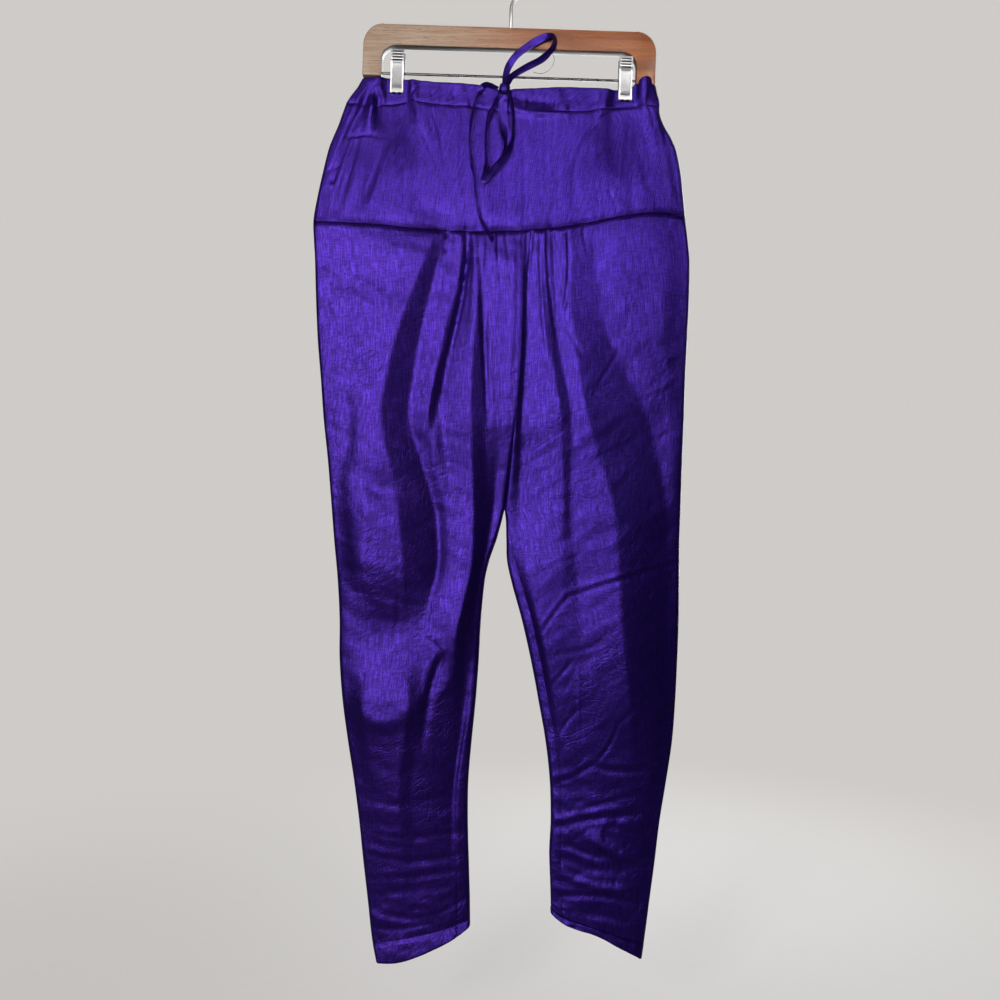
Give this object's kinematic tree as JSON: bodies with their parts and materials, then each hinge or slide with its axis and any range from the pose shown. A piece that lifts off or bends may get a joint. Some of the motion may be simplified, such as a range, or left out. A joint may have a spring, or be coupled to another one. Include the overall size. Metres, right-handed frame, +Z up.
{
  "type": "salwar on a hanger",
  "caption": "Yoked salwar with a pleated front, tapered legs and a tied drawstring, hanging from a bar hanger with clips.",
  "frame": {"origin": "inside of the hanger hook's crown, where a rail carries it", "axes": "+Z up, the front of the salwar faces -Y, +X to the right as seen from the front"},
  "size_m": [0.4292, 0.0472, 1.1334],
  "materials": {
    "cloth": "crinkled shot silk with a strong sheen",
    "tape": "flat tape of the same cloth",
    "wood": "satin lacquer",
    "steel": "plated and brushed"
  },
  "bodies": {
    "root": {"casing_front": "cloth", "casing_back": "cloth", "yoke_front": "cloth", "yoke_back": "cloth", "leg_left": "cloth", "leg_right": "cloth", "hem_left": "cloth", "hem_right": "cloth", "drawstring_knot": "tape", "drawstring_loop_up": "tape", "drawstring_loop_down": "tape", "drawstring_end_short": "tape", "drawstring_end_long": "tape", "hanger_bar": "wood", "hanger_hook": "steel", "hanger_rod": "steel", "clip_left_front_jaw": "steel", "clip_left_back_jaw": "steel", "clip_left_spring": "steel", "clip_right_front_jaw": "steel", "clip_right_back_jaw": "steel", "clip_right_spring": "steel"}
  },
  "joints": []
}
